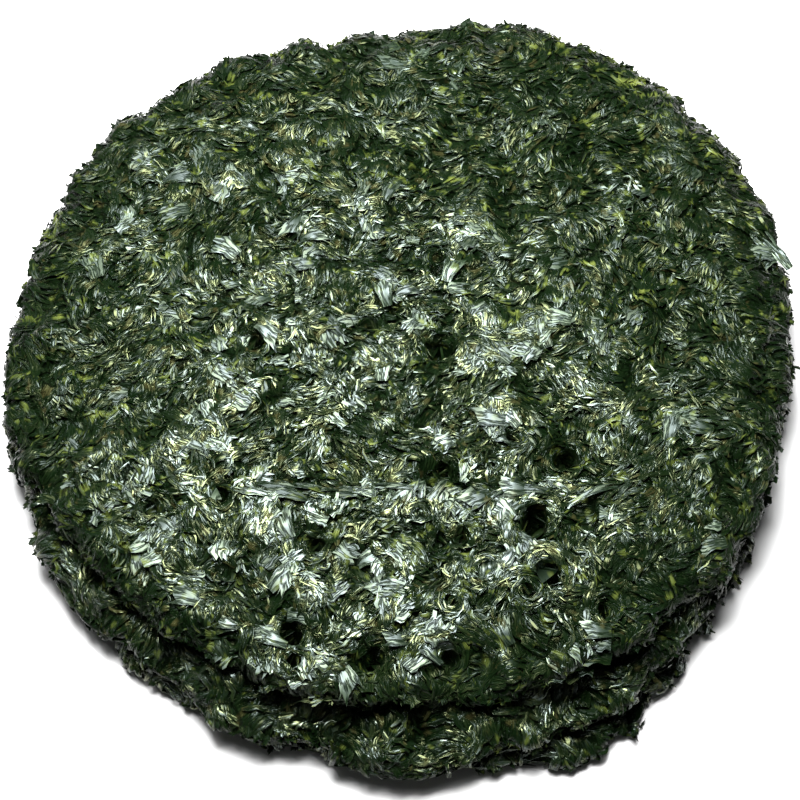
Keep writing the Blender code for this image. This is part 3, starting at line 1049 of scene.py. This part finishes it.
# %% Lay the top layer
# The fringe's shine of 0.4 paints it darker and duller.
FRINGE = dict(
    Where="rim", Along="out", Level=True, Flakes=flakes, Laver=edge_and_shade_film, Density=2.5e5, Stray=1.0,
    Lean=0.5, Least_size=0.3, Most_size=0.6, lift=(-0.3, 0.8), Crumple=1.0, shine=0.4,
)
pieces = [
    grow(
        "top_pleats", laying, Where="thick", Laver=film, Density=1.0e5, Seed=1, Steps=6,
        Step=1.2, Stray=0.6, Width=3.0, Pleats=3, Fold=0.06, lift=(-0.1, 0.7), Arch=0.4, Wrinkle=0.35, Crumple=0.9,
    ),
    grow(
        "top_ribbons", laying, Where="cover", Laver=film, Density=1.5e5, Seed=2, Steps=5,
        Step=1.0, Stray=1.0, Width=1.3, Pleats=1, Fold=0.07, lift=(0.1, 1.0), Arch=0.3, Wrinkle=0.25, Crumple=0.9,
    ),
    grow(
        "top_strands", laying, Where="cover", Laver=film, Density=1.4e5, Seed=16, Steps=8,
        Step=1.1, Stray=0.3, Width=0.75, Pleats=1, Fold=0.07, lift=(0.3, 1.2), Arch=0.2, Wrinkle=0.15, Crumple=0.8,
    ),
    grow(
        "top_threads", laying, Where="cover", Laver=film, Density=1.0e5, Seed=5, Steps=5,
        Step=1.2, Stray=1.3, Width=0.5, Pleats=1, Fold=0.06, lift=(0.3, 1.3), Arch=0.3, Wrinkle=0.1, Crumple=1.0,
    ),
    grow(
        "top_press_bands", sowing, Where="press", Along="lie", Level=True, Flakes=strips, Laver=pale_film,
        Density=0.9e5, Seed=9, Stray=0.25, Lean=0.08, Least_size=0.4, Most_size=0.9, lift=(0.2, 1.1), Crumple=0.8,
    ),
    grow(
        "top_flakes", sowing, Where="thick", Along="lie", Flakes=flakes, Laver=film,
        Density=2.5e4, Seed=6, Stray=1.2, Lean=0.14, Least_size=0.6, Most_size=1.1, lift=(-0.1, 0.7), Crumple=0.9,
    ),
    grow(
        "top_sheets", sowing, Where="pale", Along="lie", Level=True, Flakes=sheets, Laver=pale_film,
        Density=6.5e4, Seed=13, Stray=1.4, Lean=0.10, Least_size=0.4, Most_size=1.05, lift=(0.3, 1.1), Crumple=0.7,
    ),
    grow("top_fringe", sowing, Seed=10, **FRINGE),
]
print(len(pieces), "kinds of blades on the top layer")

# %% [markdown]
# ## One broad leaf at the rim
# A single pale leaf lies flat across the rim at the right. It is a strip like those on the press line,
# laid at a given place on the highest felt near it.

# %% Lay the broad leaf
LEAF_PLACE = np.array((104, 24)) * MM
LEAF_TURN = math.radians(125)
LEAF_LIFT = 0.5 * MM
LEAF_CRUMPLE = 0.5 * MM
LEAF_REACH = 4 * MM
leaf = flake("top_leaf", 15 * MM, 4.5 * MM, 0.02, 0.3, random.Random(3))
bpy.context.scene.collection.objects.link(leaf)
leaf_spots = rows_of(leaf.data.vertices, "co")
cos, sin = math.cos(LEAF_TURN), math.sin(LEAF_TURN)
leaf_spots[:, :2] = leaf_spots[:, :2] @ np.array(((cos, sin), (-sin, cos))) + LEAF_PLACE + top_middle
felt_spots = rows_of(cores["layer_top"].data.vertices, "co")
near = np.linalg.norm(felt_spots[:, :2] - LEAF_PLACE - top_middle, axis=1) < LEAF_REACH
leaf_spots[:, 2] += felt_spots[near, 2].max() + LEAF_LIFT
leaf_spots[:, 2] += LEAF_CRUMPLE * noise_at(leaf_spots, 3 * MM, 27)
leaf.data.vertices.foreach_set("co", kept_inside(leaf_spots).ravel())
leaf.data.update()
# Painted light: the leaf is painted fully lit and shiny.
store(leaf.data, "zone", np.ones(len(leaf_spots)))
store(leaf.data, "tint", np.full(len(leaf_spots), 0.9))
leaf.data.materials.append(pale_film)
pieces.append(leaf)
print("leaf at", [round(float(place) / MM, 1) for place in leaf_spots.mean(axis=0)], "mm")

# %% [markdown]
# ## Laying the lower layers
# The middle and bottom layers show only as crescents. Both get the same pleats, ribbons and fringe, so
# one loop lays them.

# %% Lay the lower layers
for number, layer in enumerate(("middle", "bottom")):
    pieces += [
        grow(
            layer + "_pleats", laying, Where="thick", Laver=shaded_lower_film, Density=1e5, Seed=3 + number, Steps=6,
            Step=1.3, Stray=0.5, Width=2.6, Pleats=2, Fold=0.1, lift=(-0.1, 0.7), Arch=0.4, Wrinkle=0.45,
            Crumple=0.8,
        ),
        grow(
            layer + "_ribbons", laying, Where="cover", Laver=shaded_lower_film, Density=2e5, Seed=7 + number, Steps=6,
            Step=1.2, Stray=0.9, Width=1.1, Pleats=1, Fold=0.09, lift=(0.1, 1.1), Arch=0.3, Wrinkle=0.3,
            Crumple=0.8,
        ),
        grow(layer + "_fringe", sowing, Seed=11 + number, **FRINGE),
    ]
print(len(pieces), "pieces of blades in all")

# %% [markdown]
# ## Painted shade on hollows and sides
# Blades low on a layer's side or down in a hollow would mirror the pale floor at a slant and look grey.
# Those faces get the duller film of the edges as painted shade, so that rims and hollows stay dark from
# every side.

# %% Paint shade on the low faces
SHADED_LOW_SHARES = {"top": 0.60, "middle": 0.42, "bottom": 0.40}
for piece in pieces:
    if piece.data.materials[0] == edge_and_shade_film:
        continue
    layer = piece.name.split("_")[0]
    low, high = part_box("layer_" + layer)
    centres = rows_of(piece.data.polygons, "center")
    # Painted shade: faces low on a layer take the duller edge film.
    dull = centres[:, 2] < low.z + SHADED_LOW_SHARES[layer] * (high.z - low.z)
    piece.data.materials.append(edge_and_shade_film)
    piece.data.polygons.foreach_set("material_index", dull.astype(np.int32))
    print(piece.name, round(100 * float(dull.mean())), "% dull")

# %% [markdown]
# ## Dressing the cores
# The cores get the felt film, which shows in the pits and between the blades. The single flakes have been
# copied and are no longer needed, so they go.

# %% Dress the cores and clear the templates
for core in cores.values():
    core.data.materials.clear()
    core.data.materials.append(felt)
for kin in (flakes, sheets, strips):
    for each in list(kin.objects):
        bpy.data.objects.remove(each)
    bpy.data.collections.remove(kin)
print("cores wear", felt.name)

# %% [markdown]
# ## Joining the body
# Every piece belongs to the one body of the cake. The cores take the place of the imported solids.

# %% Join the body
for core_node, core in cores.items():
    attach(core, "root")
    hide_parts(core_node)
for piece in pieces:
    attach(piece, "root")
print(len(pieces) + len(cores), "pieces ride the body")

# %% [markdown]
# ## The floor
# A wide pale sheet, a hair below the cake, so that the two don't touch.

# %% Lay the floor
FLOOR_REACH = 3.0  # metres
FLOOR_GAP = 0.2 * MM
scene = bpy.context.scene
scene.view_settings.view_transform = "Standard"
floor_mesh = bpy.data.meshes.new("floor")
corners = [(x * FLOOR_REACH, y * FLOOR_REACH, 0) for x, y in ((-1, -1), (1, -1), (1, 1), (-1, 1))]
floor_mesh.from_pydata(corners, [], [(0, 1, 2, 3)])
floor = new_object("floor", floor_mesh)
paper = bpy.data.materials.new("pale_floor")
paper.use_nodes = True
finish = paper.node_tree.nodes["Principled BSDF"].inputs
finish["Base Color"].default_value = (0.75, 0.75, 0.75, 1)
finish["Roughness"].default_value = 0.9
floor_mesh.materials.append(paper)
floor.location.z = -FLOOR_GAP
floor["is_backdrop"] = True
print("floor:", 2 * FLOOR_REACH, "m wide")

# %% [markdown]
# ## The light
# The room itself glows a little, and more so near the horizon, which fills the sides with light.

# %% Light the room
world = bpy.data.worlds.new("soft room")
world.use_nodes = True
room = world.node_tree
heading = add_node(room, "ShaderNodeTexCoord").outputs["Generated"]
height = add_node(room, "ShaderNodeSeparateXYZ", {0: heading}).outputs["Z"]
walls = result(room, "ShaderNodeMapRange", {
    "Value": height, "From Min": 0.02, "From Max": 0.3, "To Min": 0.34, "To Max": 0.03,
}, interpolation_type="SMOOTHSTEP")
room.links.new(walls, room.nodes["Background"].inputs["Strength"])
room.nodes["Background"].inputs["Color"].default_value = (1, 1, 1, 1)
scene.world = world
print("the room is", world.name)


# %% [markdown]
# ## The lamps
# A wide soft lamp from behind lights the floor and cake evenly. A soft box above the cake gives the
# wet-looking shine to whatever mirrors it.

# %% Place the lamps
def lamp(name, kind, energy, away):
    """A lamp that shines on the cake from the given way."""
    light = bpy.data.lights.new(name, kind)
    light.energy = energy
    made = new_object(name, light)
    made.rotation_euler = Vector(away).to_track_quat("Z", "Y").to_euler()
    return made


SUN_TURN, SUN_RISE, SUN_SPREAD = math.radians(112), math.radians(70), math.radians(40)
BOX_PLACE = (-0.03, 0.08, 0.36)
level = math.cos(SUN_RISE)
sun = lamp("window", "SUN", 1.2, (level * math.cos(SUN_TURN), level * math.sin(SUN_TURN), math.sin(SUN_RISE)))
sun.data.angle = SUN_SPREAD
box = lamp("soft_box", "AREA", 7.1, BOX_PLACE)
box.location = BOX_PLACE
box.data.size = 0.24
box.visible_camera = False
print("lamps:", sun.name, "and", box.name)

# %% [markdown]
# ## The camera
# The cake is seen from in front and well above, so that its round face and the slipped layers both show.

# %% Place the camera
EYE_HEIGHT = math.radians(61)
EYE_DISTANCE = 522.7 * MM
VIEW_ANGLE = math.radians(24)
AIM_MM = (-2.26, -19.45, 12)  # from the middle of the top layer, and from the floor
look_at = Vector((*top_middle, 0)) + Vector(AIM_MM) * MM
eye = bpy.data.cameras.new("eye")
eye.sensor_width = 36.0
eye.lens = eye.sensor_width / 2 / math.tan(VIEW_ANGLE / 2)
eye.clip_start = 0.01
camera = new_object("eye", eye)
back = Vector((0, -math.cos(EYE_HEIGHT), math.sin(EYE_HEIGHT)))
camera.location = look_at + back * EYE_DISTANCE
camera.rotation_euler = back.to_track_quat("Z", "Y").to_euler()
scene.camera = camera
print("camera:", round(eye.lens, 1), "mm lens")

# %% [markdown]
# ## The two boxes
# The finished cake is meant to stay inside the box of its imported solids, so both boxes are printed.

# %% Print both boxes
low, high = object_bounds()
print("cad:", [round(v / MM, 1) for v in (*cad_low, *cad_high)])
print("visual:", [round(v / MM, 1) for v in (*low, *high)])
